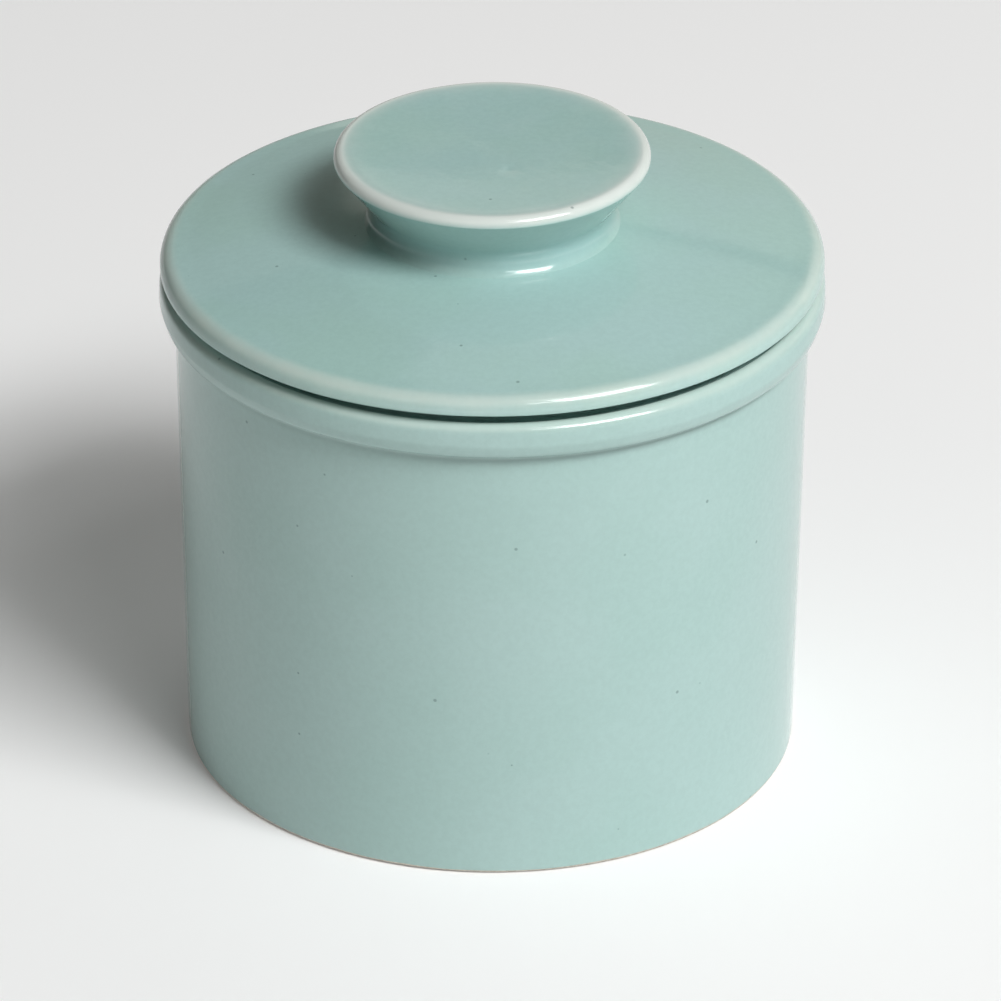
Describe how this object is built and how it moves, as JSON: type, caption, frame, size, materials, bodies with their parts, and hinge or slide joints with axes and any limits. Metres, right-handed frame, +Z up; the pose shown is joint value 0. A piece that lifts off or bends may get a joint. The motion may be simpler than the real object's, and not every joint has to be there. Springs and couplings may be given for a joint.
{
  "type": "butter crock",
  "caption": "Round glazed stoneware crock with a collared rim, and a lid with a flared knob on top and a butter cup hanging mouth down below.",
  "frame": {"origin": "centre of the circle that the pot's foot ring stands on", "axes": "+Z up along the turning axis; the crock is round, so X and Y are any two directions across it"},
  "size_m": [0.1046, 0.1046, 0.1025],
  "materials": {
    "crock_glaze": "glossy celadon glaze over stoneware, fine mottling, unglazed foot",
    "lid_glaze": "glossy celadon glaze over stoneware, breaking pale on the edges"
  },
  "bodies": {
    "crock": {"crock_pot": "crock_glaze"},
    "lid": {"lid_plate": "lid_glaze", "lid_knob": "lid_glaze", "butter_bell": "lid_glaze"}
  },
  "joints": [
    {"name": "lid_lift", "type": "slide", "parent": "crock", "child": "lid", "axis": [0, 0, 1], "range_m": [0, 0.08]}
  ]
}
